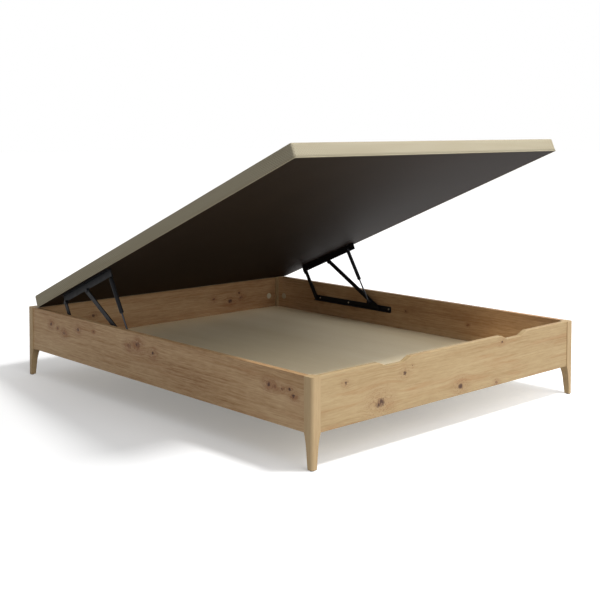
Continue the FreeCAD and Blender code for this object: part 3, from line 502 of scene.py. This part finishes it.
def felt_lining(name):
    """Thin felted cloth, nearly black, with a faint warm sheen and loose fibres."""
    graph = Graph(name, roughness=FELT_ROUGHNESS, specular=FELT_SPECULAR)
    graph.shader.inputs["Specular Tint"].default_value = FELT_SHEEN
    place = graph.place()
    fibres = graph.noise(place, FELT_FIBRES)
    tone = graph.blend(*zip((fibres, graph.noise(place, FELT_CLOUD)), FELT_SHARES))
    graph.colour(graph.ramp(tone, list(zip(FELT_TONE_EDGE, FELT_TONES))))
    graph.bump(fibres, *FELT_RELIEF)
    return graph.material


def finishes():
    """Every finish with the solids that have it; the soft solids are drawn below."""
    return {
        oak_board("oak_left", "y", LEFT_KNOTS, start=0.0, ruddy_and_painted_shade=8, smudge=0.85, contrast=2.2): [
            "left_side_panel"],
        oak_board("oak_foot", "x", FOOT_KNOTS, start=11.3, smudge=0.3, contrast=1.05): ["foot_panel"],
        # The head board is made redder and darker: partly the wood's browner tone, partly painted shade for
        # its inside under the raised lid.
        oak_board("oak_head", "x", HEAD_KNOTS, start=23.9, ruddy_and_painted_shade=10): ["head_panel"],
        oak_board("oak_right", "y", RIGHT_KNOTS, start=37.1, ruddy_and_painted_shade=11, pale=13): ["right_side_panel"],
        wood("oak_post", "z", [], POST_TONES, start=3.1, contrast=0.8): [
            "foot_left_leg", "foot_right_leg", "head_left_leg", "head_right_leg"],
        wood("softwood", "y", [], SOFTWOOD_TONES, start=7.7): [
            "head_ledger", "foot_ledger", "left_ledger", "right_ledger", "centre_beam", "centre_leg",
            "corner_dowels", "lid_board"],
        cream_board("floor_board"): ["floor_board"],
        plastic("glide_plastic", GLIDE_BLACK, rough=0.55): ["leg_glides"],
        plastic("cap_plastic", CAP_CREAM, rough=0.48): ["corner_caps"],
        bare_steel("zinc", ZINC_GREY, rough=0.36): ["cam_locks", "cam_bolts", "lower_rail_screws"],
        bare_steel("rod_steel", ROD_GREY, rough=0.26): ["left_gas_rod", "right_gas_rod"],
        painted_steel("black_steel", BLACK_PAINT, rough=0.45): [
            "left_lower_rail", "right_lower_rail", "left_upper_rail", "right_upper_rail", "left_rear_arm",
            "right_rear_arm", "left_front_arm", "right_front_arm", "left_gas_cylinder", "right_gas_cylinder",
            "gas_cylinder_sockets", "gas_rod_sockets", "left_lid_tube", "right_lid_tube", "lid_head_tube",
            "lid_foot_tube", "lid_cross_tubes", "rear_arm_lower_pins", "front_arm_lower_pins",
            "rear_arm_upper_pins", "front_arm_upper_pins", "front_arm_top_rivets", "gas_lower_studs",
            "gas_upper_studs", "upper_rail_screws"],
    }


def dress_nodes():
    """Gives every hard solid its finish."""
    for material, names in finishes().items():
        for name in names:
            slots = NODES[name].data.materials
            slots.clear()
            slots.append(material)


# Lid cover and lining, drawn flat in the lid's own frame and laid on the raised lid

def lid_frame():
    """The raised lid's frame: Z along the deck's normal, Y towards the head, origin in the deck's middle."""
    deck = MOUNTS["mattress_deck"]
    up = Vector(deck["axis"]).normalized()
    side = Vector((1, 0, 0))
    turn = Matrix((side, up.cross(side), up)).transposed().to_4x4()
    return Matrix.Translation(deck["pos_m"]) @ turn


def local_box(name, to_local):
    """Lowest and highest corners of a node in another frame."""
    points = [to_local @ vertex.co for vertex in NODES[name].data.vertices]
    return [Vector(pick(p[i] for p in points) for i in range(3)) for pick in (min, max)]


def finish_mesh(name, mesh, place, material):
    """Makes an object of a bmesh, laid out at a place with one material."""
    data = bpy.data.meshes.new(name)
    bmesh.ops.recalc_face_normals(mesh, faces=mesh.faces)
    mesh.to_mesh(data)
    mesh.free()
    for face in data.polygons:
        face.use_smooth = True
    data.materials.append(material)
    made = bpy.data.objects.new(name, data)
    bpy.context.scene.collection.objects.link(made)
    made.matrix_world = place
    return made


def slack_at(point):
    """How slack the cloth is at a point, from 0 to 1, changing slowly."""
    return 0.5 + 0.5 * noise.noise(point)


def grid_lines(low, high, cell):
    count = max(1, round((high - low) / cell))
    return [low + (high - low) * i / count for i in range(count + 1)]


def ring(mesh, low, high, corner, inset, z):
    """Points round a rectangle with rounded corners, drawn in by an inset; every ring has as many points."""
    radius = max(corner - inset, COVER_LEAST_CORNER)
    left, front = low.x + inset + radius, low.y + inset + radius
    right, back = high.x - inset - radius, high.y - inset - radius
    corners = ((right, front, -90), (right, back, 0), (left, back, 90), (left, front, 180))
    spots = []
    for x, y, start in corners:
        for step in range(COVER_CORNER_STEPS + 1):
            turn = math.radians(start + 90 * step / COVER_CORNER_STEPS)
            spots.append(Vector((x + radius * math.cos(turn), y + radius * math.sin(turn), z)))
    size = high - low
    counts = [round(size.y / COVER_CELL), round(size.x / COVER_CELL)] * 2
    whole = []
    arc = COVER_CORNER_STEPS + 1
    for side, count in enumerate(counts):
        whole += spots[side * arc:(side + 1) * arc]
        first, last = spots[(side + 1) * arc - 1], spots[(side + 1) * arc % len(spots)]
        whole += [first.lerp(last, i / count) for i in range(1, count)]
    return [mesh.verts.new(spot) for spot in whole]


def skin(mesh, rings, closed=False):
    """Quads between each ring and the next, and back to the first if the skin is closed."""
    following = rings[1:] + (rings[:1] if closed else [])
    for here, there in zip(rings, following):
        for i in range(len(here)):
            j = (i + 1) % len(here)
            mesh.faces.new((here[i], here[j], there[j], there[i]))


def cover_mesh(outer, inner):
    """A tray of padded cloth, open below, with eased edges and a little slack."""
    low, high = outer
    mesh = bmesh.new()
    hidden = [ring(mesh, *inner, INNER_CORNER, 0.0, z) for z in (inner[1].z, low.z)]
    shown = []
    for level in range(COVER_LEVELS + 1):
        z = low.z + (high.z - COVER_EDGE - low.z) * level / COVER_LEVELS
        shown.append(ring(mesh, low, high, COVER_CORNER, 0.0, z))
    for step in range(1, COVER_EDGE_STEPS + 1):
        turn = math.pi / 2 * step / COVER_EDGE_STEPS
        inset, rise = COVER_EDGE * (1 - math.cos(turn)), COVER_EDGE * math.sin(turn)
        shown.append(ring(mesh, low, high, COVER_CORNER, inset, high.z - COVER_EDGE + rise))
    for inset in COVER_INSETS:
        shown.append(ring(mesh, low, high, COVER_CORNER, inset, high.z))
    skin(mesh, hidden + shown)
    mesh.faces.new(hidden[0][::-1])
    mesh.faces.new(shown[-1])
    mesh.normal_update()
    for points in shown[1:-1]:
        for vertex in points:
            vertex.co -= vertex.normal * slack_at(vertex.co * COVER_WAVE_SCALE) * COVER_WAVE
    return mesh


def piping_mesh(low, high):
    """A thin binding sewn along the cover's lower edge, all the way round."""
    mesh = bmesh.new()
    rings = []
    for step in range(PIPING_SIDES):
        turn = 2 * math.pi * step / PIPING_SIDES
        inset = PIPING_RADIUS * (PIPING_TUCK_SHARE - math.cos(turn))
        rings.append(ring(mesh, low, high, COVER_CORNER, inset, low.z + PIPING_RADIUS * (1 + math.sin(turn))))
    skin(mesh, rings, closed=True)
    return mesh


def lining_mesh(low, high):
    """A sheet pulled flat below the tubes, with a little slack away from its edges."""
    mesh = bmesh.new()
    across, along = LINING_RIPPLE_SCALES
    middle = high.z - (high.z - low.z) / 2
    rows = grid_lines(low.y, high.y, LINING_CELL)
    points = []
    for x in grid_lines(low.x, high.x, LINING_CELL):
        line = []
        for y in rows:
            inner = min(x - low.x, high.x - x, y - low.y, high.y - y)
            ripple = slack_at(Vector((x * across, y * along, LINING_RIPPLE_LEVEL)))
            sag = min(1.0, inner / LINING_MARGIN) * ripple * LINING_SAG
            line.append(mesh.verts.new((x, y, middle - sag)))
        points.append(line)
    for left, right in zip(points, points[1:]):
        for i in range(len(rows) - 1):
            mesh.faces.new((left[i], right[i], right[i + 1], left[i + 1]))
    return mesh


def make_cover(place):
    """The padded cover, which stands for the lid's cover, and the piping sewn to it."""
    low, high = local_box("lid_cover", place.inverted())
    inside = local_box("lid_board", place.inverted())
    cloth = mesh_fabric("mesh_fabric", COVER_TONES, COVER_PITCH)
    cover = finish_mesh("lid_cover_cloth", cover_mesh((low, high), inside), place, cloth)
    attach(cover, "lid")
    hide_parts("lid_cover")
    binding = mesh_fabric("binding_fabric", PIPING_TONES, PIPING_PITCH)
    piping = finish_mesh("lid_piping", piping_mesh(low, high), place, binding)
    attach(piping, "lid")


def make_lining(place):
    """The dark sheet stretched below the lid's tubes."""
    low, high = local_box("lid_lining", place.inverted())
    lining = finish_mesh("lid_lining_cloth", lining_mesh(low, high), place, felt_lining("lining_fabric"))
    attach(lining, "lid")
    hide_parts("lid_lining")


# Stage, light and camera

def seen_directly(tree):
    """1 for rays that show the background itself, straight or in gloss and glass."""
    rays = tree.nodes.new("ShaderNodeLightPath").outputs
    shown = rays["Is Camera Ray"]
    for other in ("Is Glossy Ray", "Is Transmission Ray"):
        either = tree.nodes.new("ShaderNodeMath")
        either.operation = "MAXIMUM"
        tree.links.new(shown, either.inputs[0])
        tree.links.new(rays[other], either.inputs[1])
        shown = either.outputs[0]
    return shown


def make_sky():
    """A sky that is white where it is seen and otherwise an even, dim source of light."""
    world = bpy.data.worlds.new("studio")
    world.use_nodes = True
    tree = world.node_tree
    strength = tree.nodes.new("ShaderNodeMath")
    strength.operation = "MAXIMUM"
    strength.inputs[0].default_value = SKY_STRENGTH
    tree.links.new(seen_directly(tree), strength.inputs[1])
    background = tree.nodes["Background"]
    background.inputs["Color"].default_value = WHITE
    tree.links.new(strength.outputs[0], background.inputs["Strength"])
    bpy.context.scene.world = world


def make_stage():
    """A pale floor that keeps the shadow and glows to white away from it."""
    graph = Graph("studio_floor", roughness=STAGE_ROUGHNESS, specular=0.0)
    seen = seen_directly(graph.tree)
    graph.colour(graph.remap(seen, 0.0, 1.0, STAGE_BOUNCE, STAGE_TONE))
    x, y = (graph.math("SUBTRACT", part, centre) for part, centre in zip(graph.place(), STAGE_GLOW_CENTRE))
    reach = graph.math("SQRT", graph.blend((x, x), (y, y)))
    glow = graph.remap(reach, *STAGE_GLOW_FADE, *STAGE_GLOW)
    graph.feed(graph.shader.inputs["Emission Strength"], graph.math("MULTIPLY", seen, glow))
    graph.shader.inputs["Emission Color"].default_value = WHITE
    mesh = bmesh.new()
    bmesh.ops.create_grid(mesh, x_segments=1, y_segments=1, size=STAGE_SPAN / 2)
    finish_mesh("studio_floor", mesh, Matrix.Identity(4), graph.material)


def hang_lamp(lamp, place, towards):
    """Hangs a lamp at a place, with its back along the direction given."""
    made = bpy.data.objects.new(lamp.name, lamp)
    made.location = place
    made.rotation_mode = "QUATERNION"
    made.rotation_quaternion = Vector(towards).to_track_quat("Z", "Y")
    made.visible_camera = False
    bpy.context.scene.collection.objects.link(made)


def make_key():
    """A round lamp high up beyond the foot end, a little to the right."""
    lamp = bpy.data.lights.new("key", "AREA")
    lamp.shape = "DISK"
    lamp.size = KEY_WIDTH
    lamp.energy = KEY_POWER
    hang_lamp(lamp, KEY_PLACE, Vector(KEY_PLACE) - Vector(KEY_AIM))


def make_fill():
    """A far, broad lamp at the foot end."""
    lamp = bpy.data.lights.new("fill", "SUN")
    lamp.energy = FILL_STRENGTH
    lamp.angle = FILL_SPREAD
    hang_lamp(lamp, FILL_FROM, FILL_FROM)


def make_camera():
    camera = bpy.data.cameras.new("photo_camera")
    camera.lens = CAMERA_LENS
    camera.sensor_width = CAMERA_SENSOR
    camera.shift_y = CAMERA_SHIFT
    made = bpy.data.objects.new("photo_camera", camera)
    made.location = CAMERA_PLACE
    made.rotation_euler = (math.pi / 2 - CAMERA_PITCH, 0.0, -CAMERA_YAW)
    bpy.context.scene.collection.objects.link(made)
    bpy.context.scene.camera = made


dress_nodes()
make_cover(lid_frame())
make_lining(lid_frame())
make_sky()
make_stage()
make_key()
make_fill()
make_camera()
bpy.context.scene.view_settings.view_transform = "Standard"
